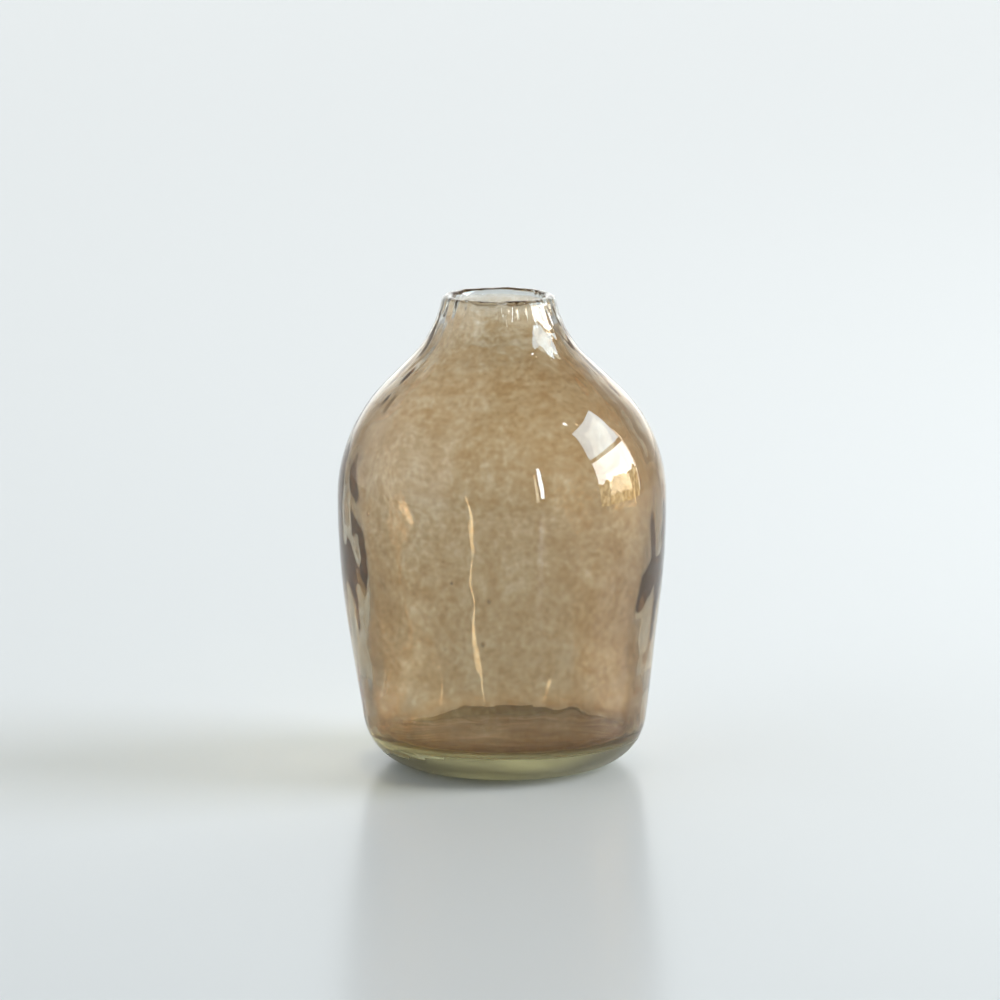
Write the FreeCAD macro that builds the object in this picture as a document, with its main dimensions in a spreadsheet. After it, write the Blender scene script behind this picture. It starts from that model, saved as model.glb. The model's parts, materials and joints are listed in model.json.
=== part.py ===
"""Blown glass bud vase: a clear glass body and its amber lining, as a parametric FreeCAD document.

Both solids are turned about the vertical axis. The origin is the middle of the foot, on the surface that the
vase stands on, with +Z up. Lengths are in millimetres and angles in degrees.
"""

import FreeCAD, Part

import math
import os

import Sketcher

SHEET = "dimensions"
ORIGIN, VERTICAL_AXIS = -1, -2
START, END, CENTRE = 1, 2, 3
HEEL, SIDE, BELLY, SHOULDER, SLOPE, NECK = range(6)
CONTOUR_LENGTH = 6

DRIVING_DIMENSIONS = [
    ("height", 140.0, "table to the top of the lip"),
    ("belly_radius", 48.6, "widest outside radius"),
    ("belly_height", 79.7, "height of the widest ring"),
    ("belly_arc", 260.0, "curve between the widest ring and the straight taper"),
    ("side_taper", 7.8, "lean of the straight lower side from the vertical"),
    ("heel_arc", 15.9, "round between the side and the foot"),
    ("shoulder_arc", 46.0, "round above the widest ring"),
    ("slope_lean", 45.8, "lean of the short straight slope from the vertical"),
    ("neck_arc", 33.3, "hollow curve of the neck, outside"),
    ("lip_radius", 15.05, "radius of the middle of the lip's wall"),
    ("wall", 3.4, "glass thickness from the lip to the widest ring"),
    ("floor", 9.0, "height of the inside floor over the table"),
    ("inner_belly_arc", 80.0, "as belly_arc, inside"),
    ("inner_taper", 6.6, "as side_taper, inside: the wall is thickest below the widest ring"),
    ("inner_heel_arc", 5.0, "round between the inside wall and the floor"),
    ("lining", 0.3, "thickness of the amber lining"),
]


def make_sheet(doc):
    """The spreadsheet that drives every size."""
    sheet = doc.addObject("Spreadsheet::Sheet", SHEET)
    for row, (alias, value, meaning) in enumerate(DRIVING_DIMENSIONS, start=1):
        sheet.set(f"A{row}", alias)
        sheet.set(f"B{row}", str(value))
        sheet.setAlias(f"B{row}", alias)
        sheet.set(f"C{row}", meaning)
    doc.recompute()
    return sheet


def make_body(doc, label):
    """An empty body and a sketch on its XZ plane, where the sketch's vertical is the vase's axis."""
    body = doc.addObject("PartDesign::Body", label)
    body.Label = label
    body.Placement = FreeCAD.Placement()
    plane = next(f for f in body.Origin.OriginFeatures if f.Role == "XZ_Plane")
    sketch = body.newObject("Sketcher::SketchObject", label + "_profile")
    sketch.AttachmentSupport = (plane, [""])
    sketch.MapMode = "FlatFace"
    return body, sketch


def point(radius, level):
    return FreeCAD.Vector(radius, level, 0)


def from_centre(centre, radius, angle):
    """The point at an angle above the outward horizontal, at a radius from a centre."""
    return centre + point(radius * math.cos(angle), radius * math.sin(angle))


def line(a, b):
    return Part.LineSegment(a, b)


def arc(centre, radius, low, high):
    """An arc that runs anticlockwise from angle low to angle high, in radians."""
    circle = Part.Circle(centre, FreeCAD.Vector(0, 0, 1), radius)
    return Part.ArcOfCircle(circle, low, high)


def constrain(sketch, kind, *references):
    return sketch.addConstraint(Sketcher.Constraint(kind, *references))


def bind(sketch, name, kind, references, value, expression):
    """Adds a dimension of that kind and ties it to the sheet, whose cells the expression names after a $."""
    index = constrain(sketch, kind, *references, value)
    sketch.renameConstraint(index, name)
    sketch.setExpression(f"Constraints.{name}", expression.replace("$", SHEET + "."))


def join(sketch, first, first_end, second, second_end):
    """Makes two curves meet end to end in one smooth line."""
    constrain(sketch, "Tangent", first, first_end, second, second_end)


def meet(sketch, first, first_end, second, second_end):
    """Makes two curves' ends, or centres, the same point."""
    constrain(sketch, "Coincident", first, first_end, second, second_end)


def upper_centres(size):
    """Centres of the shoulder's, the neck's and the lip's arcs.

    The neck's centre lies neck_arc beyond the slope's line and neck_arc + wall / 2 from the lip's centre.
    """
    shoulder = point(size.belly_radius - size.shoulder_arc, size.belly_height)
    lip = point(size.lip_radius, size.height - size.wall / 2)
    lean = math.radians(size.slope_lean)
    outward = point(math.cos(lean), math.sin(lean))
    along = point(-math.sin(lean), math.cos(lean))
    abreast = shoulder + outward * (size.shoulder_arc + size.neck_arc)
    gap = abreast - lip
    offset = gap.dot(along)
    span = size.neck_arc + size.wall / 2
    reach = -offset - math.sqrt(span**2 - gap.dot(gap) + offset**2)
    return shoulder, abreast + along * reach, lip


def contour(size, inset, taper, belly_arc, heel_arc, base_level):
    """The six curves of one contour, from its base up to the lip.

    inset is how far inside the outer surface it lies from the widest ring upwards.
    """
    shoulder, neck, lip = upper_centres(size)
    slope, lean = math.radians(size.slope_lean), math.radians(taper)
    belly = point(size.belly_radius - inset - belly_arc, size.belly_height)
    side_top = from_centre(belly, belly_arc, -lean)
    heel_level = base_level + heel_arc
    heel_radius = side_top.x - (heel_arc + (side_top.y - heel_level) * math.sin(lean)) / math.cos(lean)
    heel = point(heel_radius, heel_level)
    shoulder_arc, neck_arc = size.shoulder_arc - inset, size.neck_arc + inset
    lip_side = math.atan2(lip.y - neck.y, lip.x - neck.x)
    return [
        arc(heel, heel_arc, -math.pi / 2, -lean),
        line(from_centre(heel, heel_arc, -lean), side_top),
        arc(belly, belly_arc, -lean, 0),
        arc(shoulder, shoulder_arc, 0, slope),
        line(from_centre(shoulder, shoulder_arc, slope), from_centre(neck, -neck_arc, slope)),
        arc(neck, neck_arc, lip_side % (2 * math.pi), math.pi + slope),
    ]


def inner_contour(size, depth):
    """The contour at a depth inside the glass's inner surface."""
    return contour(
        size,
        size.wall + depth,
        size.inner_taper,
        size.inner_belly_arc - depth,
        size.inner_heel_arc - depth,
        size.floor + depth,
    )


def join_contour(sketch, first):
    """Joins the six curves of the contour whose first curve's index is given."""
    for below in range(first + HEEL, first + SLOPE):
        join(sketch, below, END, below + 1, START)
    join(sketch, first + SLOPE, END, first + NECK, END)


def size_lower_part(sketch, tag, first, size, belly_arc, heel_arc, taper):
    """Dimensions of a contour's heel, side and belly, from the sheet's cells of those names."""
    heel, side, belly = first + HEEL, first + SIDE, first + BELLY
    for name, curve, cell in (("belly_arc", belly, belly_arc), ("heel_arc", heel, heel_arc)):
        bind(sketch, f"{tag}_{name}", "Radius", (curve,), getattr(size, cell), "$" + cell)
    level = (ORIGIN, START, belly, CENTRE)
    bind(sketch, f"{tag}_belly_height", "DistanceY", level, size.belly_height, "$belly_height")
    lean = math.radians(90 - getattr(size, taper))
    bind(sketch, f"{tag}_taper", "Angle", (ORIGIN, START, side, START), lean, "90 - $" + taper)
    constrain(sketch, "Horizontal", belly, CENTRE, belly, END)


def size_slope(sketch, slope, size):
    lean = math.radians(90 + size.slope_lean)
    bind(sketch, "slope_lean", "Angle", (ORIGIN, START, slope, START), lean, "90 + $slope_lean")


def place(sketch, name, curve, spot, across, up):
    """Ties a point's radius and height to the sheet; across and up are each a (value, expression) pair."""
    bind(sketch, name + "_radius", "DistanceX", (ORIGIN, START, curve, spot), *across)
    bind(sketch, name + "_level", "DistanceY", (ORIGIN, START, curve, spot), *up)


def draw_glass(sketch, size):
    """The section of the glass: foot, outside, lip, inside and floor, closed along the axis."""
    outside = contour(size, 0, size.side_taper, size.belly_arc, size.heel_arc, 0)
    inside = inner_contour(size, 0)
    _, neck_centre, lip_centre = upper_centres(size)
    neck_side = math.atan2(neck_centre.y - lip_centre.y, neck_centre.x - lip_centre.x)
    lip_arc = arc(lip_centre, size.wall / 2, neck_side, neck_side + math.pi)
    foot_line = line(point(0, 0), outside[HEEL].StartPoint)
    floor_line = line(point(0, size.floor), inside[HEEL].StartPoint)
    axis_line = line(point(0, 0), point(0, size.floor))
    sketch.addGeometry([*outside, *inside, lip_arc, foot_line, floor_line, axis_line], False)
    outer, inner = 0, CONTOUR_LENGTH
    lip, foot, floor, axis = range(2 * CONTOUR_LENGTH, 2 * CONTOUR_LENGTH + 4)

    join_contour(sketch, outer)
    join_contour(sketch, inner)
    join(sketch, foot, END, outer + HEEL, START)
    join(sketch, floor, END, inner + HEEL, START)
    join(sketch, outer + NECK, START, lip, START)
    join(sketch, inner + NECK, START, lip, END)
    meet(sketch, foot, START, ORIGIN, START)
    meet(sketch, axis, START, ORIGIN, START)
    meet(sketch, axis, END, floor, START)
    constrain(sketch, "Horizontal", foot)
    constrain(sketch, "Horizontal", floor)
    constrain(sketch, "PointOnObject", axis, END, VERTICAL_AXIS)

    size_lower_part(sketch, "outer", outer, size, "belly_arc", "heel_arc", "side_taper")
    size_lower_part(sketch, "inner", inner, size, "inner_belly_arc", "inner_heel_arc", "inner_taper")
    girth = (ORIGIN, START, outer + BELLY, END)
    bind(sketch, "belly_radius", "DistanceX", girth, size.belly_radius, "$belly_radius")
    bind(sketch, "shoulder_arc", "Radius", (outer + SHOULDER,), size.shoulder_arc, "$shoulder_arc")
    radius = size.shoulder_arc - size.wall
    bind(sketch, "inner_shoulder_arc", "Radius", (inner + SHOULDER,), radius, "$shoulder_arc - $wall")
    bind(sketch, "neck_arc", "Radius", (outer + NECK,), size.neck_arc, "$neck_arc")
    bind(sketch, "lip_arc", "Radius", (lip,), size.wall / 2, "$wall / 2")
    across = (size.lip_radius, "$lip_radius")
    up = (size.height - size.wall / 2, "$height - $wall / 2")
    place(sketch, "lip", lip, CENTRE, across, up)
    bind(sketch, "floor_level", "DistanceY", (ORIGIN, START, axis, END), size.floor, "$floor")
    size_slope(sketch, outer + SLOPE, size)
    constrain(sketch, "Vertical", inner + SHOULDER, CENTRE, outer + SHOULDER, CENTRE)
    meet(sketch, inner + NECK, CENTRE, outer + NECK, CENTRE)


def draw_lining(sketch, size):
    """The section of the lining: a skin against the inside of the glass, open at the lip."""
    backed, free = inner_contour(size, 0), inner_contour(size, size.lining)
    _, neck_centre, lip_centre = upper_centres(size)
    rim_line = line(backed[NECK].StartPoint, free[NECK].StartPoint)
    low_floor = line(point(0, size.floor), backed[HEEL].StartPoint)
    high_floor = line(point(0, size.floor + size.lining), free[HEEL].StartPoint)
    axis_line = line(low_floor.StartPoint, high_floor.StartPoint)
    sketch.addGeometry([*backed, *free, rim_line, low_floor, high_floor, axis_line], False)
    sketch.addGeometry([line(neck_centre, lip_centre)], True)
    outer, inner = 0, CONTOUR_LENGTH
    rim, low, high, axis, lip_ray = range(2 * CONTOUR_LENGTH, 2 * CONTOUR_LENGTH + 5)

    join_contour(sketch, outer)
    join_contour(sketch, inner)
    join(sketch, low, END, outer + HEEL, START)
    join(sketch, high, END, inner + HEEL, START)
    meet(sketch, outer + NECK, START, rim, START)
    meet(sketch, inner + NECK, START, rim, END)
    meet(sketch, low, START, axis, START)
    meet(sketch, high, START, axis, END)
    meet(sketch, lip_ray, START, outer + NECK, CENTRE)
    constrain(sketch, "Horizontal", low)
    constrain(sketch, "Horizontal", high)
    for spot in (START, END):
        constrain(sketch, "PointOnObject", axis, spot, VERTICAL_AXIS)
        constrain(sketch, "PointOnObject", rim, spot, lip_ray)

    size_lower_part(sketch, "backed", outer, size, "inner_belly_arc", "inner_heel_arc", "inner_taper")
    girth = (ORIGIN, START, outer + BELLY, END)
    bind(sketch, "belly_radius", "DistanceX", girth, size.belly_radius - size.wall, "$belly_radius - $wall")
    shoulder = size.shoulder_arc - size.wall
    bind(sketch, "shoulder_arc", "Radius", (outer + SHOULDER,), shoulder, "$shoulder_arc - $wall")
    bind(sketch, "neck_arc", "Radius", (outer + NECK,), size.neck_arc + size.wall, "$neck_arc + $wall")
    size_slope(sketch, outer + SLOPE, size)
    across = (size.lip_radius, "$lip_radius")
    up = (size.height - size.wall / 2, "$height - $wall / 2")
    place(sketch, "lip", lip_ray, END, across, up)
    span = size.neck_arc + size.wall / 2
    bind(sketch, "lip_span", "Distance", (lip_ray,), span, "$neck_arc + $wall / 2")
    bind(sketch, "floor_level", "DistanceY", (ORIGIN, START, axis, START), size.floor, "$floor")
    bind(sketch, "thickness", "Distance", (axis,), size.lining, "$lining")
    for curve in (HEEL, BELLY, SHOULDER, NECK):
        meet(sketch, inner + curve, CENTRE, outer + curve, CENTRE)
    constrain(sketch, "Parallel", inner + SIDE, outer + SIDE)
    constrain(sketch, "Parallel", inner + SLOPE, outer + SLOPE)


def turn(body, sketch, label):
    """Turns the section a full circle about the vase's axis."""
    feature = body.newObject("PartDesign::Revolution", label + "_turned")
    feature.Profile = sketch
    feature.ReferenceAxis = (sketch, ["V_Axis"])
    feature.Angle = 360.0
    sketch.Visibility = False


def check(doc, bodies):
    """Stops the build if an object failed, a sketch is loose or a solid isn't sound."""
    for item in doc.Objects:
        bad = {"Invalid", "Error"} & set(item.State)
        if bad:
            raise RuntimeError(f"{item.Name} is {', '.join(sorted(bad))}")
        if item.TypeId == "Sketcher::SketchObject" and not item.FullyConstrained:
            raise RuntimeError(f"{item.Name} isn't fully constrained")
    for body in bodies:
        if body.Shape.isNull() or not body.Shape.isValid() or len(body.Shape.Solids) != 1:
            raise RuntimeError(f"{body.Label} isn't one sound solid")


def main():
    doc = FreeCAD.newDocument("bud_vase")
    size = make_sheet(doc)
    bodies = []
    for label, draw in (("glass_body", draw_glass), ("amber_lining", draw_lining)):
        body, sketch = make_body(doc, label)
        draw(sketch, size)
        turn(body, sketch, label)
        bodies.append(body)
    doc.recompute()
    check(doc, bodies)
    os.makedirs("parts", exist_ok=True)
    for body in bodies:
        body.Shape.exportStep(f"parts/{body.Label}.step")


main()
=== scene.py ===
"""A blown glass bud vase in Blender: clear glass with its amber lining, on a table by a window.

Lengths are in metres and angles in radians, unless a name or a comment says otherwise. The vase
stands on z = 0 about the Z axis, as in the frame. A bearing is an angle in degrees round the vase
from the camera's side, -Y, and grows towards +X. The angle of a place on a ring starts at +X and
grows towards +Y, the back.
"""

import json
import math
from typing import NamedTuple

import bmesh
import bpy
import numpy as np
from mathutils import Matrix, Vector, noise

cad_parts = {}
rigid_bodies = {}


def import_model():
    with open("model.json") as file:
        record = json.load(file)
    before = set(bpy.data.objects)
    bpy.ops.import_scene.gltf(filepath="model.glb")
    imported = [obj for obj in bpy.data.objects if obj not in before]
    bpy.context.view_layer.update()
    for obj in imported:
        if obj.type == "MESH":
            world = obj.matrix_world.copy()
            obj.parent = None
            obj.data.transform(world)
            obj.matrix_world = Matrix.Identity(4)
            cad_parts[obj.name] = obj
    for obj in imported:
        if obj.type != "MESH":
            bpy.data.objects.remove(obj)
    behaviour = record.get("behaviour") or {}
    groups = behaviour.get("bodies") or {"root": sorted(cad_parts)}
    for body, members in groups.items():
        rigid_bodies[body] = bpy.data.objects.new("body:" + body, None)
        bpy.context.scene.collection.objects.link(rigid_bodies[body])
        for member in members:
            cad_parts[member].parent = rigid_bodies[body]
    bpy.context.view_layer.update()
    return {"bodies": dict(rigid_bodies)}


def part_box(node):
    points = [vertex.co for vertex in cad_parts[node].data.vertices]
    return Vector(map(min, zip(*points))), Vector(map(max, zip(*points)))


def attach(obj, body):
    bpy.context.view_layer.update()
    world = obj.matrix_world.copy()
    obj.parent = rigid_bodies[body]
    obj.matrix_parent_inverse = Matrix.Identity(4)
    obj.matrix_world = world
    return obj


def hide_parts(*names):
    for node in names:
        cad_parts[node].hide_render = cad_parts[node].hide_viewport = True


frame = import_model()

MM = 0.001
TURN = 2 * math.pi

glass_low, glass_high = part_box("glass_body")
HEIGHT = glass_high[2] - glass_low[2]
BELLY_RADIUS = (glass_high[1] - glass_low[1]) / 2
WALL = 3.4 * MM
FLOOR = 9.0 * MM
BELLY_HEIGHT = 79.7 * MM
SHOULDER_ARC = 46.0 * MM
SLOPE_LEAN = math.radians(45.8)
NECK_ARC = 33.3 * MM
LIP_RADIUS = 15.05 * MM
OUTSIDE = {"taper": math.radians(7.8), "belly_arc": 260 * MM, "heel_arc": 15.9 * MM}
INSIDE = {"taper": math.radians(6.6), "belly_arc": 80 * MM, "heel_arc": 5.0 * MM}

# The film's distance from the glass and its thickness. On the wall it is sunk in, as it is fused.
FILM_GAP = 0.06 * MM
FILM = 0.30 * MM
FILM_SUNK = 0.18 * MM
FILM_SINKS = (9 * MM, 12 * MM)
FILM_RISES = (128 * MM, 133 * MM)

RING_STEP = 1.1 * MM
SEGMENTS = 288
MERGE = RING_STEP / 1000


# ---------------------------------------------------------------- outlines


def arc(centre, radius, start, end):
    """Points and outward normals on an arc, at about RING_STEP."""
    count = max(2, round(abs((end - start) * radius) / RING_STEP))
    angles = np.linspace(start, end, count + 1)
    normals = np.c_[np.cos(angles), np.sin(angles)]
    return np.array(centre) + radius * normals, normals


def upper_centres():
    """Centres of the shoulder's, the neck's and the lip's arcs, as (radius, height)."""
    shoulder = np.array([BELLY_RADIUS - SHOULDER_ARC, BELLY_HEIGHT])
    lip = np.array([LIP_RADIUS, HEIGHT - WALL / 2])
    outward = np.array([math.cos(SLOPE_LEAN), math.sin(SLOPE_LEAN)])
    along = np.array([-outward[1], outward[0]])
    gap = shoulder + outward * (SHOULDER_ARC + NECK_ARC) - lip
    offset = gap @ along
    span = NECK_ARC + WALL / 2
    neck = lip + gap + along * (-offset - math.sqrt(span**2 - gap @ gap + offset**2))
    return shoulder, neck, lip


def contour(depth, taper, belly_arc, heel_arc, base):
    """Points and normals of one contour, heel to lip, at a depth in from the outer surface."""
    shoulder, neck, lip = upper_centres()
    belly = np.array([BELLY_RADIUS - depth - belly_arc, BELLY_HEIGHT])
    side_top = belly + belly_arc * np.array([math.cos(taper), -math.sin(taper)])
    heel_height = base + heel_arc
    drop = side_top[1] - heel_height
    heel = (side_top[0] - (heel_arc + drop * math.sin(taper)) / math.cos(taper), heel_height)
    to_lip = math.atan2(lip[1] - neck[1], lip[0] - neck[0]) + TURN
    hollow, into_neck = arc(neck, NECK_ARC + depth, math.pi + SLOPE_LEAN, to_lip)
    pieces = [
        arc(heel, heel_arc, -math.pi / 2, -taper),
        arc(belly, belly_arc, -taper, 0),
        arc(shoulder, SHOULDER_ARC - depth, 0, SLOPE_LEAN),
        (hollow, -into_neck),
    ]
    points, normals = (np.vstack(parts) for parts in zip(*pieces))
    return even(points, normals)


def even(points, normals):
    """The same line with its points spread at RING_STEP."""
    steps = np.hypot(*np.diff(points, axis=0).T)
    keep = np.r_[True, steps > 10 * MERGE]
    points, normals = points[keep], normals[keep]
    along = np.r_[0, np.cumsum(np.hypot(*np.diff(points, axis=0).T))]
    places = np.linspace(0, along[-1], round(along[-1] / RING_STEP) + 1)
    points = np.c_[[np.interp(places, along, c) for c in points.T]].T
    normals = np.c_[[np.interp(places, along, c) for c in normals.T]].T
    return points, normals / np.hypot(*normals.T)[:, None]


def disc(level, radius):
    """Points from the axis out to a radius, all at one level."""
    count = round(radius / RING_STEP)
    return np.c_[np.linspace(0, radius, count + 1), np.full(count + 1, level)]


def smooth(low, high, value):
    """0 below low, 1 above high, and a smooth step between."""
    t = np.clip((value - low) / (high - low), 0, 1)
    return t * t * (3 - 2 * t)


def eased(height, stops):
    """A value that goes smoothly from stop to stop; a stop is (height, value) in millimetres."""
    level = height / MM
    value = stops[0][1]
    for (low, before), (high, after) in zip(stops, stops[1:]):
        value += (after - before) * smooth(low, high, level)
    return value * MM


# ---------------------------------------------------------------- hand-blown unevenness


class Wave(NamedTuple):
    """A wave on the wall: its swing in millimetres, what its zone adds to that, and its sizes."""

    swing: float
    more: float
    across: float
    along: float
    seed: float


OUTER_BULGES = Wave(0.12, 0, 30 * MM, 30 * MM, 3.1)
OUTER_DINTS = Wave(0.03, 0.09, 6 * MM, 5 * MM, 17.4)
OUTER_GRAIN = Wave(0.004, 0.014, 3.2 * MM, 3.6 * MM, 29.3)
INNER_BULGES = Wave(0.30, 0, 26 * MM, 32 * MM, 41.7)
INNER_RIDGES = Wave(0.09, 0.16, 6.5 * MM, 16 * MM, 58.3)
INNER_RIPPLES = Wave(0.03, 0.06, 5 * MM, 5 * MM, 77.9)

# The lip's waves run only round it: they are read at height 0, so along is left at 1.
LIP_BULGES = Wave(0.55, 0, 24 * MM, 1, 91.2)
LIP_SCALLOPS = Wave(0.60, 0, 6.5 * MM, 1, 34.6)
LIP_DROOP = Wave(0.25, 0, 16 * MM, 1, 63.8)

# How high the floor swirls on average, and its swirls, each a swing and a size; in millimetres.
FLOOR_RISE = 0.8
FLOOR_SWIRLS = [(0.8, 14), (0.2, 6)]

# Radii between which the floor takes on the wall's waves instead.
FLOOR_EDGE = (12 * MM, 33 * MM)

# Heights between which a zone begins, or for LOWER_WALL and WAVES_END, between which it ends.
SHOULDER = (84 * MM, 100 * MM)
NECK = (112 * MM, 128 * MM)
LOWER_WALL = (75 * MM, 100 * MM)
WAVES_END = (130 * MM, 138 * MM)
LIP_EDGE = (131 * MM, 138 * MM)
OUTER_WAVES = (0, 8 * MM)

# Stops for eased: glass added at the two sides, where less than 0 is a thinner wall, and how far
# the inside, and then the whole vase, is shifted along X.
EXTRA_WALL = [(8, -1.2), (18, -1.0), (32, 0.2), (46, 0.4), (68, -0.8), (104, -1.4), (122, -0.4)]
INNER_SHIFT = [(8, 0.3), (36, 0.75), (56, 1.1), (78, 0.75), (102, -1.25), (122, 0)]
OUTER_SHIFT = [(5, 0.9), (50, 0), (95, 0), (130, -1.0)]

# The inside back leans in below BACK_LEAN_TOP. The last two are ranges of a sine and a cosine.
BACK_LEAN = math.radians(7.0)
BACK_LEAN_TOP = 70 * MM
BACK_LEAN_TURN = math.radians(-12)
BEHIND = (0.70, 0.92)
BESIDE = (0.45, 0.80)


def ripple(angle, height, wave, zone=0.0):
    """Smooth noise on the wall, in millimetres; zone says how far into the wave's zone this is."""
    girth = BELLY_RADIUS / wave.across
    across = (girth * math.cos(angle), girth * math.sin(angle))
    spot = Vector((*across, height / wave.along + wave.seed))
    return (wave.swing + wave.more * zone) * noise.noise(spot)


def outer_wave(angle, height):
    """How far the outside stands out: bulges, dints that grow on the neck, and a fine grain."""
    bulges = ripple(angle, height, OUTER_BULGES)
    dints = ripple(angle, height, OUTER_DINTS, smooth(*NECK, height))
    grain = ripple(angle, height, OUTER_GRAIN, smooth(*SHOULDER, height))
    return (bulges + dints + grain) * MM


def inner_wave(angle, height):
    """How far the inside stands in: bulges, upright ridges low at the sides, and small ripples."""
    side = math.cos(angle) ** 2
    lower = 1 - smooth(*LOWER_WALL, height)
    bulges = ripple(angle, height, INNER_BULGES)
    ridges = ripple(angle, height, INNER_RIDGES, lower * side)
    ripples = ripple(angle, height, INNER_RIPPLES, side)
    return (bulges + ridges + ripples) * MM


def inner_lean(angle, height):
    """How far the inside stands in towards the axis: uneven sides, and a back that leans in."""
    behind = smooth(*BEHIND, math.sin(angle + BACK_LEAN_TURN))
    beside = smooth(*BESIDE, abs(math.cos(angle)))
    leaning = max(BACK_LEAN_TOP - height, 0) * math.tan(BACK_LEAN)
    return (1 - behind) * beside * eased(height, EXTRA_WALL) + behind * leaning


def lip_wave(angle):
    """How far the inside edge of the lip stands in, in a few uneven scallops."""
    return (ripple(angle, 0, LIP_BULGES) + ripple(angle, 0, LIP_SCALLOPS)) * MM


# ---------------------------------------------------------------- meshes


def turned(name, rings):
    """A mesh from rings, each a function of the angle that gives (radius, height, X shift)."""
    angles = np.arange(SEGMENTS) * TURN / SEGMENTS
    vertices, faces = [], []
    for ring in rings:
        for angle in angles:
            radius, height, shift = ring(angle)
            x = radius * math.cos(angle) + shift + eased(height, OUTER_SHIFT)
            vertices.append((x, radius * math.sin(angle), height))
    for low in range(len(rings) - 1):
        below, above = low * SEGMENTS, (low + 1) * SEGMENTS
        for k in range(SEGMENTS):
            n = (k + 1) % SEGMENTS
            faces.append((below + k, below + n, above + n, above + k))
    mesh = bpy.data.meshes.new(name)
    mesh.from_pydata(vertices, [], faces)
    piece = bpy.data.objects.new(name, mesh)
    bpy.context.collection.objects.link(piece)
    return piece


def weld(mesh):
    """Merges the rings that have shrunk to a point, and smooths the shading."""
    work = bmesh.new()
    work.from_mesh(mesh)
    bmesh.ops.remove_doubles(work, verts=work.verts, dist=MERGE)
    bmesh.ops.dissolve_degenerate(work, edges=work.edges, dist=MERGE)
    work.to_mesh(mesh)
    work.free()
    mesh.shade_smooth()


def foot_ring(point):
    """A ring on the flat of the foot."""
    return lambda angle: (*point, 0)


def outer_ring(point, normal, share):
    """A ring on the outside of the glass, with a share of its waves."""
    (radius, height), (out, up) = point, normal

    def place(angle):
        push = share * outer_wave(angle, height)
        return radius + out * push, height + up * push, 0

    return place


def inner_ring(point, normal, depth):
    """A ring on the inside of the glass, or at a depth into the hollow from it."""
    (radius, height), (out, up) = point, normal
    share = 1 - smooth(*WAVES_END, height)
    edge = smooth(*LIP_EDGE, height)

    def place(angle):
        push = -depth - share * inner_wave(angle, height) - edge * lip_wave(angle)
        inwards = share * inner_lean(angle, height)
        return radius + out * push - inwards, height + up * push, eased(height, INNER_SHIFT)

    return place


def lip_ring(point, normal, across):
    """A ring over the lip; across goes from 0 at its outer edge to 1 at its inner edge."""
    (radius, height), (out, up) = point, normal

    def place(angle):
        push = (1 - across) * outer_wave(angle, height) - across * lip_wave(angle)
        droop = (ripple(angle, 0, LIP_DROOP) - LIP_DROOP.swing) * MM * up
        return radius + out * push, height + droop, 0

    return place


def floor_ring(point, depth, edge_radius):
    """A ring on the inside floor, which swirls and dips, or at a depth above it."""
    radius, height = point
    edge = smooth(*FLOOR_EDGE, radius)

    def place(angle):
        spot = Vector((radius * math.cos(angle), radius * math.sin(angle), 0)) / MM
        swirl = FLOOR_RISE + sum(swing * noise.noise(spot / size) for swing, size in FLOOR_SWIRLS)
        wave = swirl * MM * (1 - edge) + edge * inner_wave(angle, height)
        stretch = 1 - inner_lean(angle, height) / edge_radius
        return radius * stretch, height + depth + wave, edge * eased(height, INNER_SHIFT)

    return place


def glass_rings():
    """Foot, outside, lip, inside and floor."""
    outside = list(zip(*contour(0, base=0, **OUTSIDE)))
    inside = list(zip(*contour(WALL, base=FLOOR, **INSIDE)))
    foot_radius, floor_radius = outside[0][0][0], inside[0][0][0]
    _, neck, lip = upper_centres()
    to_neck = math.atan2(neck[1] - lip[1], neck[0] - lip[0])
    over = list(zip(*arc(lip, WALL / 2, to_neck, to_neck + math.pi)))
    rings = [foot_ring(point) for point in disc(0, foot_radius)]
    for point, normal in outside[1:]:
        rings.append(outer_ring(point, normal, smooth(*OUTER_WAVES, point[1])))
    for i, (point, normal) in enumerate(over[1:-1], start=1):
        rings.append(lip_ring(point, normal, i / (len(over) - 1)))
    for point, normal in inside[::-1]:
        rings.append(inner_ring(point, normal, 0))
    for point in disc(FLOOR, floor_radius)[-2::-1]:
        rings.append(floor_ring(point, 0, floor_radius))
    return rings


def film_rings(depth):
    """A skin of the lining at a depth into the hollow, from the middle of the floor to the lip."""
    points, normals = contour(WALL, base=FLOOR, **INSIDE)
    edge_radius = points[0][0]
    rings = [floor_ring(point, depth, edge_radius) for point in disc(FLOOR, edge_radius)[:-1]]
    for point, normal in zip(points, normals):
        height = point[1]
        sunk = FILM_SUNK * smooth(*FILM_SINKS, height) * (1 - smooth(*FILM_RISES, height))
        rings.append(inner_ring(point, normal, depth - sunk))
    return rings


# Air bubbles: three at the front and more elsewhere, by bearing and height in millimetres.
FRONT_SEEDS = [(-4.5, 57), (-18, 62), (-7, 44)]
OTHER_SEEDS = 9
SEED_BEARINGS = (40, 320)
SEED_HEIGHTS = (25, 112)
SEED_RADII = (0.25, 0.45)
SEED_STRETCH = 1.6


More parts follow.
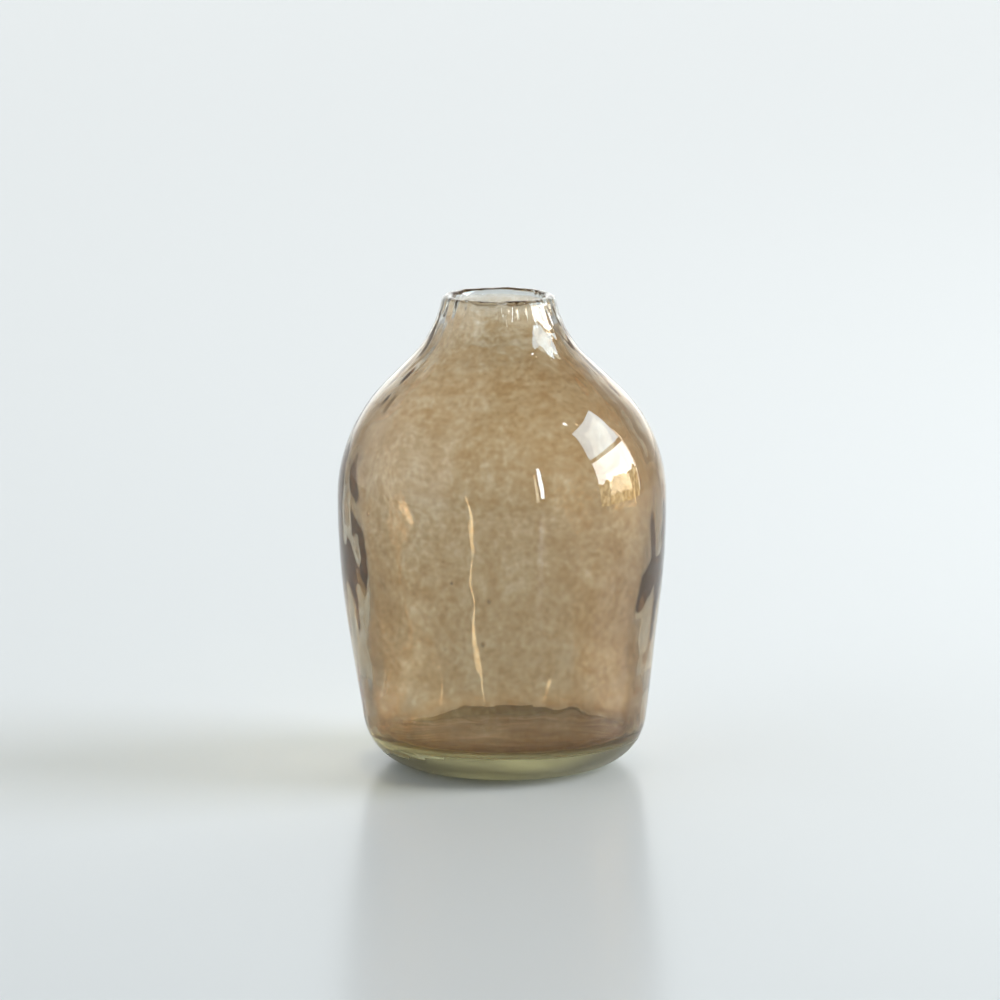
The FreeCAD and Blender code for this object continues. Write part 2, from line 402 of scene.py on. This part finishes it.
def add_seeds(mesh):
    """Air bubbles in the wall: small upright ellipsoids whose faces look into their own hollow."""
    random = np.random.default_rng(11)
    places = FRONT_SEEDS + [
        (random.uniform(*SEED_BEARINGS), random.uniform(*SEED_HEIGHTS)) for _ in range(OTHER_SEEDS)
    ]
    outside, _ = contour(0, base=0, **OUTSIDE)
    work = bmesh.new()
    work.from_mesh(mesh)
    for bearing, level in places:
        radius = np.interp(level * MM, outside[:, 1], outside[:, 0]) - WALL / 2
        turn = math.radians(bearing)
        size = random.uniform(*SEED_RADII) * MM
        made = bmesh.ops.create_icosphere(work, subdivisions=3, radius=size)["verts"]
        middle = Vector((radius * math.sin(turn), -radius * math.cos(turn), level * MM))
        for vertex in made:
            vertex.co.z *= SEED_STRETCH
            vertex.co += middle
        faces = {face for vertex in made for face in vertex.link_faces}
        bmesh.ops.reverse_faces(work, faces=list(faces))
    work.to_mesh(mesh)
    work.free()
    mesh.shade_smooth()


# How high the dull heel reaches, how much less at the left and behind, and how ragged it is.
DULL_TOP = 8.8 * MM
DULL_LESS_LEFT = 3.5 * MM
DULL_LESS_BEHIND = 1.6 * MM
DULL_RAGGED = 1.8 * MM
DULL_PATCH = 9 * MM
DULL_LEFT = (10 * MM, 38 * MM)
DULL_BEHIND = (0, 25 * MM)


def dull_top(place):
    """How high the dull skin of the heel reaches: less on the left, and raggedly at the back."""
    left = smooth(*DULL_LEFT, -place.x)
    behind = smooth(*DULL_BEHIND, place.y)
    ragged = DULL_RAGGED * noise.noise(place / DULL_PATCH)
    return DULL_TOP - DULL_LESS_LEFT * left - (DULL_LESS_BEHIND + ragged) * behind


def build_glass():
    """The glass, with its dull heel and its air bubbles."""
    glass = turned("vase_glass", glass_rings())
    mesh = glass.data
    weld(mesh)
    add_seeds(mesh)
    mesh.materials.append(glass_material("clear_glass", **CLEAR))
    mesh.materials.append(glass_material("ground_foot", **DULL))
    for face in mesh.polygons:
        if face.center.z < dull_top(face.center):
            face.material_index = 1
    return glass


def build_film():
    """The amber lining: a back against the glass, and a face to the hollow, which also mirrors."""
    back = film_rings(FILM_GAP)
    film = turned("vase_amber_film", back + film_rings(FILM_GAP + FILM)[::-1])
    mesh = film.data
    back_faces = (len(back) - 1) * SEGMENTS
    for face in mesh.polygons[back_faces:]:
        face.material_index = 1
    mesh.materials.append(film_material("amber_glass_back", glossy=False))
    mesh.materials.append(film_material("amber_glass_face", glossy=True))
    weld(mesh)
    return film


# ---------------------------------------------------------------- material nodes


def new_material(name):
    """An empty node material and its tree."""
    material = bpy.data.materials.new(name)
    material.use_nodes = True
    material.node_tree.nodes.clear()
    return material, material.node_tree


def add(tree, kind, **values):
    """A node with some of its inputs or settings set by name."""
    node = tree.nodes.new(kind)
    for name, value in values.items():
        socket = node.inputs.get(name.replace("_", " "))
        if socket is not None:
            socket.default_value = value
        else:
            setattr(node, name, value)
    return node


def maths(tree, operation, *values):
    """A Math node on numbers or outputs; gives its output."""
    node = add(tree, "ShaderNodeMath", operation=operation)
    for socket, value in zip(node.inputs, values):
        if isinstance(value, (int, float)):
            socket.default_value = value
        else:
            tree.links.new(value, socket)
    return node.outputs[0]


def ranged(tree, value, low, high, to_low=0.0, to_high=1.0):
    """value's range low to high, smoothly, as to_low to to_high."""
    node = add(tree, "ShaderNodeMapRange", interpolation_type="SMOOTHSTEP")
    settings = {"From Min": low, "From Max": high, "To Min": to_low, "To Max": to_high}
    for name, number in settings.items():
        node.inputs[name].default_value = number
    tree.links.new(value, node.inputs["Value"])
    return node.outputs["Result"]


def blend(tree, factor, first, second):
    """A colour between two, each a colour or an output."""
    node = add(tree, "ShaderNodeMix", data_type="RGBA")
    tree.links.new(factor, node.inputs["Factor"])
    for socket, value in ((node.inputs[6], first), (node.inputs[7], second)):
        if isinstance(value, tuple):
            socket.default_value = (*value, 1)
        else:
            tree.links.new(value, socket)
    return node.outputs[2]


def mottle(tree, coords, scale, stretch, detail):
    """Noise over an object, scale patches to the metre, times stretch along each axis."""
    mapping = add(tree, "ShaderNodeMapping")
    mapping.inputs["Scale"].default_value = [scale * s for s in stretch]
    tree.links.new(coords, mapping.inputs["Vector"])
    node = add(tree, "ShaderNodeTexNoise", Scale=1.0, Detail=detail, Roughness=0.6)
    tree.links.new(mapping.outputs[0], node.inputs["Vector"])
    return node.outputs[0]


def fill_ramp(ramp, stops, tone=(1, 1, 1)):
    """Gives a Color Ramp node its stops, each a (position, level)."""
    elements = ramp.color_ramp.elements
    while len(elements) < len(stops):
        elements.new(0.5)
    for element, (position, level) in zip(elements, stops):
        element.position = position
        element.color = (*(level * share for share in tone), 1)


def by_height(tree, level, stops):
    """A value that follows stops, each a (height in millimetres, value)."""
    most = max(value for _, value in stops)
    ramp = add(tree, "ShaderNodeValToRGB")
    ramp.color_ramp.interpolation = "EASE"
    fill_ramp(ramp, [(height * MM / HEIGHT, value / most) for height, value in stops])
    tree.links.new(maths(tree, "DIVIDE", level, HEIGHT), ramp.inputs[0])
    return maths(tree, "MULTIPLY", ramp.outputs[0], most)


def mixed(tree, factor, first, second):
    """A Mix Shader node of two shader nodes; the factor is a number or an output."""
    mix = add(tree, "ShaderNodeMixShader")
    if isinstance(factor, float):
        mix.inputs[0].default_value = factor
    else:
        tree.links.new(factor, mix.inputs[0])
    tree.links.new(first.outputs[0], mix.inputs[1])
    tree.links.new(second.outputs[0], mix.inputs[2])
    return mix


def casts(tree, surface, color):
    """The surface, with a shadow of that colour in place of the black one it would cast."""
    shadow = add(tree, "ShaderNodeBsdfTransparent", Color=(*color, 1))
    path = add(tree, "ShaderNodeLightPath")
    return mixed(tree, path.outputs["Is Shadow Ray"], surface, shadow)


def finish_material(tree, surface, volume=None):
    """Links shader nodes to a new Material Output."""
    out = add(tree, "ShaderNodeOutputMaterial")
    tree.links.new(surface.outputs[0], out.inputs["Surface"])
    if volume:
        tree.links.new(volume.outputs[0], out.inputs["Volume"])


# ---------------------------------------------------------------- glass and lining

CLEAR = {"roughness": 0.0, "clarity": 1.0, "color": (0.985, 0.995, 0.99)}
DULL = {"roughness": 0.3, "clarity": 0.85, "color": (0.81, 0.775, 0.55)}
GLASS_IOR = 1.5
GLASS_SHADOW = (0.86, 0.88, 0.86)
GLASS_GREEN = (0.68, 0.66, 0.36)
GREEN_DENSITY = 20.0

# What one face of the film lets through where it is 1 thick, its thickness by height, and a
# painted shade that makes the film evenly darker low down.
FILM_TINT = (0.885, 0.811, 0.711)
FILM_THICKNESS = [
    (9, 0.1), (11.5, 1.2), (15, 1.0), (24, 0.9), (36, 1.0), (60, 1.0),
    (78, 0.97), (104, 1.0), (115, 0.96), (125, 0.75), (138, 0.70),
]
FILM_PAINTED_SHADE = [(10, 0.96), (36, 0.955), (70, 1.0)]
FILM_SHADOW = (0.87, 0.835, 0.77)
FILM_HAZE = (0.70, 0.55, 0.40)
HAZE_SHARE = 0.03

# Thickness at the left and the right side, what a slant adds by height, and what patches add.
SIDE_THICKNESS = (0.92, 1.15)
SIDES = (-40 * MM, 40 * MM)
OBLIQUE = [(45, 0.8), (65, 0.34)]
SLANT_BLEND = 0.65
UNEVEN = 1.45
POOLED = 0.7
GRAIN_SHARE = 1.1
STREAKS_SHARE = 0.8

# Patches, each with its scale, its stretch and its detail.
CLOUDS = (140, (1, 1, 0.9), 7)
STREAKS = (100, (1, 1, 6), 3)
GRAIN = (520, (1, 1, 1), 2)

# Heights where streaks come in, where the pool in the corner ends, and where the film fades out.
STREAKED = (96 * MM, 112 * MM)
CORNER = (12 * MM, 17 * MM)
FADE = (137 * MM, 143 * MM)
FADE_RAGGED = 6 * MM

# The lining's roughness on the straight wall, and what the slope and the corner add to it.
DULL_SLOPE = (78 * MM, 95 * MM)
WALL_ROUGHNESS, SLOPE_ROUGHNESS, CORNER_ROUGHNESS = 0.03, 0.30, 0.25

# What glass mirrors when seen straight on, and how steeply that grows towards its edge.
MIRRORED = 0.04
MIRROR_POWER = 5.0


def glass_material(name, roughness, clarity, color):
    """Faintly green glass that lets light through to its shadow; without clarity it scatters."""
    material, tree = new_material(name)
    glass = add(tree, "ShaderNodeBsdfPrincipled", Roughness=roughness, IOR=GLASS_IOR)
    glass.inputs["Base Color"].default_value = (*color, 1)
    glass.inputs["Transmission Weight"].default_value = clarity
    green = (*GLASS_GREEN, 1)
    absorb = add(tree, "ShaderNodeVolumeAbsorption", Color=green, Density=GREEN_DENSITY)
    finish_material(tree, casts(tree, glass, GLASS_SHADOW), absorb)
    return material


def film_patches(tree, coords, clouds, level):
    """Patches about 0: clouds and grain all over, and flat streaks under the neck."""
    above = ranged(tree, level, *STREAKED, 0.0, STREAKS_SHARE)
    streaks = maths(tree, "SUBTRACT", mottle(tree, coords, *STREAKS), 0.5)
    grain = maths(tree, "SUBTRACT", mottle(tree, coords, *GRAIN), 0.5)
    marks = maths(tree, "MULTIPLY", streaks, above)
    specks = maths(tree, "MULTIPLY", grain, GRAIN_SHARE)
    both = maths(tree, "ADD", marks, specks)
    return maths(tree, "ADD", maths(tree, "SUBTRACT", clouds, 0.5), both)


def film_thickness(tree, coords, clouds, across, level):
    """Relative thickness: by height and side, pooled in the corner, and mottled."""
    rightwards = ranged(tree, across, *SIDES, *SIDE_THICKNESS)
    pooled = maths(tree, "MULTIPLY", ranged(tree, level, *CORNER, POOLED, 0.0), clouds)
    along = by_height(tree, level, FILM_THICKNESS)
    thickness = maths(tree, "MULTIPLY_ADD", along, rightwards, pooled)
    patches = film_patches(tree, coords, clouds, level)
    return maths(tree, "MULTIPLY_ADD", patches, UNEVEN, thickness)


def film_tint(tree):
    """What one face of the lining lets through: deeper where it's seen aslant, gone at the lip."""
    coords = add(tree, "ShaderNodeTexCoord").outputs["Object"]
    split = add(tree, "ShaderNodeSeparateXYZ")
    tree.links.new(coords, split.inputs[0])
    across, level = split.outputs["X"], split.outputs["Z"]
    clouds = mottle(tree, coords, *CLOUDS)
    thickness = film_thickness(tree, coords, clouds, across, level)
    slant = add(tree, "ShaderNodeLayerWeight", Blend=SLANT_BLEND).outputs["Facing"]
    longer = maths(tree, "MULTIPLY_ADD", slant, by_height(tree, level, OBLIQUE), 1.0)
    deeper = add(tree, "ShaderNodeGamma", Color=(*FILM_TINT, 1))
    tree.links.new(maths(tree, "MULTIPLY", thickness, longer), deeper.inputs["Gamma"])
    tint_with_painted_shade = add(tree, "ShaderNodeVectorMath", operation="SCALE")
    tree.links.new(deeper.outputs[0], tint_with_painted_shade.inputs[0])
    # Painted shade: the film is made evenly darker low down, by height.
    tree.links.new(by_height(tree, level, FILM_PAINTED_SHADE), tint_with_painted_shade.inputs["Scale"])
    ragged = maths(tree, "MULTIPLY_ADD", clouds, FADE_RAGGED, level)
    return blend(tree, ranged(tree, ragged, *FADE), tint_with_painted_shade.outputs[0], (1.0, 1.0, 1.0))


def hollow_roughness(tree):
    """The lining is smooth on the straight wall, and dull on the slope and in the corner."""
    split = add(tree, "ShaderNodeSeparateXYZ")
    tree.links.new(add(tree, "ShaderNodeTexCoord").outputs["Object"], split.inputs[0])
    level = split.outputs["Z"]
    above = ranged(tree, level, *DULL_SLOPE, 0.0, SLOPE_ROUGHNESS)
    below = ranged(tree, level, *CORNER, CORNER_ROUGHNESS, 0.0)
    return maths(tree, "ADD", maths(tree, "ADD", above, below), WALL_ROUGHNESS)


def mirror(tree, surface):
    """The surface, with a mirror over it that grows towards its edge, on its front only."""
    aslant = add(tree, "ShaderNodeLayerWeight", Blend=0.5).outputs["Facing"]
    growth = maths(tree, "POWER", aslant, MIRROR_POWER)
    mirrored = maths(tree, "MULTIPLY_ADD", growth, 1 - MIRRORED, MIRRORED)
    behind = add(tree, "ShaderNodeNewGeometry").outputs["Backfacing"]
    share = maths(tree, "MULTIPLY", mirrored, maths(tree, "SUBTRACT", 1.0, behind))
    shine = add(tree, "ShaderNodeBsdfAnisotropic")
    tree.links.new(hollow_roughness(tree), shine.inputs["Roughness"])
    return mixed(tree, share, surface, shine)


def film_material(name, glossy):
    """The amber lining, slightly cloudy; its face to the hollow also mirrors."""
    material, tree = new_material(name)
    clear = add(tree, "ShaderNodeBsdfTransparent")
    tree.links.new(film_tint(tree), clear.inputs["Color"])
    haze = add(tree, "ShaderNodeBsdfTranslucent", Color=(*FILM_HAZE, 1))
    surface = mixed(tree, HAZE_SHARE, clear, haze)
    if glossy:
        surface = mirror(tree, surface)
    finish_material(tree, casts(tree, surface, FILM_SHADOW))
    return material


# ---------------------------------------------------------------- stage and window

TABLE_RADIUS = 6.0
TABLE_CORNERS = 96
TABLE_GAP = 0.05 * MM
TABLE_COLOR = (0.78, 0.836, 0.868)
TABLE_ROUGHNESS = 0.22
TABLE_SPECULAR = 0.04

# The window stands at WINDOW_X; the rest are places along Y and heights.
WINDOW_X = 1.5
WINDOW_LEFT, WINDOW_RIGHT = -0.47, 0.58
WINDOW_SILL, BAR_LOW, BAR_HIGH, WINDOW_TOP = 0.36, 0.765, 0.845, 1.65
SUNLIT_EDGE = (0.595, 0.615, 0.05, 1.0)
SILL_OVERLAP = 0.05
TREE_STEPS = 22
TREE_RISE = 0.09
TREES_PER_METRE = 9
GARDEN_NEARER = 0.01

# Colours and strengths of what shines.
SKY = ((0.73, 0.92, 1.08), 8.6)
WHITE_PANE = ((1.0, 0.99, 0.97), 14.0)
SUNLIT = ((1.0, 0.9, 0.72), 10.0)
FAR_LIGHT = ((0.85, 0.96, 1.05), 24.0)
LEAVES_DARK, LEAVES_LIGHT = (0.30, 0.20, 0.07), (1.0, 0.78, 0.42)
LEAVES_STRENGTH = 4.6
LEAVES = (14, (1, 1, 1), 4)
LEAVES_EDGE = (0.40, 0.62)
WINDOW_WATTS = 31.0
DAYLIGHT = (1.0, 0.985, 0.96)

# Bearings, elevations and distance, seen from the middle of the vase.
VASE_MIDDLE = 0.07
SLIT = ((26.7, 29.3), (8, 29), 4.0)
SMALL_LAMP = ((75.5, 78.5), (50.8, 53.2), 3.0)


def stage_plane(name, corners, material):
    """A flat card that isn't part of the object."""
    mesh = bpy.data.meshes.new(name)
    mesh.from_pydata(corners, [], [tuple(range(len(corners)))])
    mesh.materials.append(material)
    card = bpy.data.objects.new(name, mesh)
    bpy.context.collection.objects.link(card)
    return card


def reflected_card(name, corners, material):
    """A bright card that shows only in reflections and through glass."""
    card = stage_plane(name, corners, material)
    card.visible_camera = False
    card.visible_diffuse = False
    card.visible_shadow = False
    return card


def glow(name, color, strength):
    """A material that only shines."""
    material, tree = new_material(name)
    finish_material(tree, add(tree, "ShaderNodeEmission", Color=(*color, 1), Strength=strength))
    return material


def garden_glow():
    """Sunlit leaves in patches of gold and dark brown."""
    material, tree = new_material("garden")
    coords = add(tree, "ShaderNodeTexCoord").outputs["Object"]
    leaves = ranged(tree, mottle(tree, coords, *LEAVES), *LEAVES_EDGE)
    color = blend(tree, leaves, LEAVES_DARK, LEAVES_LIGHT)
    emit = add(tree, "ShaderNodeEmission", Strength=LEAVES_STRENGTH)
    tree.links.new(color, emit.inputs["Color"])
    finish_material(tree, emit)
    return material


def pane_corners(left, right, low, high):
    """Corners of an upright card in the window's plane."""
    return [(WINDOW_X, y, z) for y, z in ((left, low), (right, low), (right, high), (left, high))]


def tree_line():
    """Corners of the garden's card, with an uneven top where trees stand against the sky."""
    tops = []
    for k in range(TREE_STEPS + 1):
        across = WINDOW_LEFT + (WINDOW_RIGHT - WINDOW_LEFT) * k / TREE_STEPS
        rise = TREE_RISE * noise.noise(Vector((across * TREES_PER_METRE, 0, 5)))
        tops.append((WINDOW_X, across, WINDOW_SILL + rise))
    return [(WINDOW_X, WINDOW_LEFT, 0.0), (WINDOW_X, WINDOW_RIGHT, 0.0), *tops[::-1]]


def add_window():
    """What reflections see of the window: two panes, a garden and a sunlit edge."""
    sky = pane_corners(WINDOW_LEFT, WINDOW_RIGHT, BAR_HIGH, WINDOW_TOP)
    white = pane_corners(WINDOW_LEFT, WINDOW_RIGHT, WINDOW_SILL - SILL_OVERLAP, BAR_LOW)
    reflected_card("upper_pane", sky, glow("upper_pane", *SKY))
    reflected_card("lower_pane", white, glow("lower_pane", *WHITE_PANE))
    garden = reflected_card("garden", tree_line(), garden_glow())
    garden.location.x = -GARDEN_NEARER
    reflected_card("sunlit_frame", pane_corners(*SUNLIT_EDGE), glow("sunlit_frame", *SUNLIT))


def add_window_light():
    """The window's light on the table; mirrors and glass don't show the lamp's own outline."""
    light = bpy.data.lights.new("window_light", "AREA")
    light.shape = "RECTANGLE"
    light.size = WINDOW_TOP - WINDOW_SILL
    light.size_y = WINDOW_RIGHT - WINDOW_LEFT
    light.energy = WINDOW_WATTS
    light.color = DAYLIGHT
    lamp = bpy.data.objects.new("window_light", light)
    middle = (WINDOW_LEFT + WINDOW_RIGHT) / 2, (WINDOW_SILL + WINDOW_TOP) / 2
    lamp.location = (WINDOW_X, *middle)
    lamp.rotation_euler = (0, math.pi / 2, 0)
    lamp.visible_camera = False
    lamp.visible_glossy = False
    lamp.visible_transmission = False
    bpy.context.collection.objects.link(lamp)


def from_bearing(bearing, elevation, distance):
    """A place seen from the vase at that bearing and elevation, in degrees."""
    b, e = math.radians(bearing), math.radians(elevation)
    across = distance * math.cos(e)
    height = VASE_MIDDLE + distance * math.sin(e)
    return Vector((across * math.sin(b), -across * math.cos(b), height))


def far_corners(bearings, elevations, distance):
    """Corners of a card that faces the vase, between two bearings and two elevations."""
    (left, right), (low, high) = bearings, elevations
    turns = (left, low), (right, low), (right, high), (left, high)
    return [from_bearing(bearing, elevation, distance) for bearing, elevation in turns]


def add_far_lights():
    """A far narrow window that draws the upright streaks, and a small lamp high on the right."""
    white = glow("far_window", *FAR_LIGHT)
    reflected_card("far_window", far_corners(*SLIT), white)
    reflected_card("small_lamp", far_corners(*SMALL_LAMP), white)


def add_floor():
    """The pale table top, a hair below the foot."""
    corners = []
    for k in range(TABLE_CORNERS):
        turn = TURN * k / TABLE_CORNERS
        corners.append((TABLE_RADIUS * math.cos(turn), TABLE_RADIUS * math.sin(turn), -TABLE_GAP))
    material, tree = new_material("table_top")
    paint = add(tree, "ShaderNodeBsdfPrincipled", Roughness=TABLE_ROUGHNESS)
    paint.inputs["Base Color"].default_value = (*TABLE_COLOR, 1)
    paint.inputs["Specular IOR Level"].default_value = TABLE_SPECULAR
    finish_material(tree, paint)
    stage_plane("table_top", corners, material)


# ---------------------------------------------------------------- room and camera

# The room's brightness by bearing, with the front, bearing 0, in the middle of the list.
ROOM = [
    (-180, 2.0), (-160, 1.75), (-150, 0.7), (-140, 0.35), (-125, 1.0), (-45, 1.25), (-31, 0.16),
    (55, 0.14), (75, 0.45), (120, 0.45), (135, 0.3), (150, 0.8), (165, 2.2), (180, 2.0),
]
ROOM_TONE = (0.97, 1, 1)
PALE = (0.88, 0.92, 0.93)

# The share that the ceiling keeps, and the slopes of the view, as sines, between which it dims.
CEILING = 0.25
CEILING_DIMS = (0.35, 0.85)

# Through glass the room is dimmer, evener by the share FILL_THROUGH, and has no dim ceiling.
SEEN_THROUGH = 0.505
FILL_THROUGH = 0.18

CAMERA_PLACE = (0, -1.7, 0.381)
CAMERA_AIM = (-0.0006, 0, 0.0784)
CAMERA_LENS_MM = 210.5
CAMERA_SENSOR_MM = 36.0


def room_color(tree, direction, through):
    """The room's colour along a direction, evener for rays that come through glass."""
    towards_camera = maths(tree, "MULTIPLY", direction.outputs["Y"], -1.0)
    bearing = maths(tree, "ARCTAN2", direction.outputs["X"], towards_camera)
    place = maths(tree, "MULTIPLY_ADD", bearing, 1 / TURN, 0.5)
    ramp = add(tree, "ShaderNodeValToRGB")
    brightest = max(level for _, level in ROOM)
    stops = [((degrees + 180) / 360, level / brightest) for degrees, level in ROOM]
    fill_ramp(ramp, stops, ROOM_TONE)
    tree.links.new(place, ramp.inputs[0])
    filled = maths(tree, "MULTIPLY", through, FILL_THROUGH)
    return blend(tree, filled, ramp.outputs[0], (1.0, 1.0, 1.0))


def room_strength(tree, direction, through):
    """The room's strength along a direction: less above, or less all over through glass."""
    brightest = max(level for _, level in ROOM)
    slope = direction.outputs["Z"]
    dimmed = ranged(tree, slope, *CEILING_DIMS, brightest, brightest * CEILING)
    bare = maths(tree, "MULTIPLY", dimmed, maths(tree, "SUBTRACT", 1.0, through))
    return maths(tree, "MULTIPLY_ADD", through, brightest * SEEN_THROUGH, bare)


def add_world():
    """Pale to the camera; in reflections a bright back and left, a dim front and a dim ceiling."""
    world = bpy.data.worlds.new("room")
    bpy.context.scene.world = world
    world.use_nodes = True
    tree = world.node_tree
    tree.nodes.clear()
    direction = add(tree, "ShaderNodeSeparateXYZ")
    tree.links.new(add(tree, "ShaderNodeTexCoord").outputs["Generated"], direction.inputs[0])
    path = add(tree, "ShaderNodeLightPath")
    through = path.outputs["Is Transmission Ray"]
    room = add(tree, "ShaderNodeBackground")
    tree.links.new(room_color(tree, direction, through), room.inputs["Color"])
    tree.links.new(room_strength(tree, direction, through), room.inputs["Strength"])
    pale = add(tree, "ShaderNodeBackground", Color=(*PALE, 1))
    mix = mixed(tree, path.outputs["Is Camera Ray"], room, pale)
    out = add(tree, "ShaderNodeOutputWorld")
    tree.links.new(mix.outputs[0], out.inputs["Surface"])


def add_camera():
    """A long lens that looks down on the vase by about 10 degrees."""
    camera = bpy.data.cameras.new("camera")
    camera.sensor_width = CAMERA_SENSOR_MM
    camera.lens = CAMERA_LENS_MM
    view = bpy.data.objects.new("camera", camera)
    view.location = CAMERA_PLACE
    looking = Vector(CAMERA_AIM) - view.location
    view.rotation_euler = looking.to_track_quat("-Z", "Y").to_euler()
    bpy.context.collection.objects.link(view)
    bpy.context.scene.camera = view


def allow_many_bounces():
    """Lets light run round inside the thick glass, where it would otherwise end in black."""
    cycles = bpy.context.scene.cycles
    cycles.max_bounces = 24
    cycles.glossy_bounces = 16
    cycles.transmission_bounces = 24
    cycles.transparent_max_bounces = 48


# ---------------------------------------------------------------- scene

body = next(iter(frame["bodies"]))
glass, film = build_glass(), build_film()
stand_ins = ((glass, "glass_body", "clear_glass"), (film, "amber_lining", "amber_glass"))
for piece, node, slot in stand_ins:
    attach(piece, body)
    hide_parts(node)

add_floor()
add_window()
add_window_light()
add_far_lights()
add_world()
add_camera()
bpy.context.scene.view_settings.view_transform = "Standard"
allow_many_bounces()
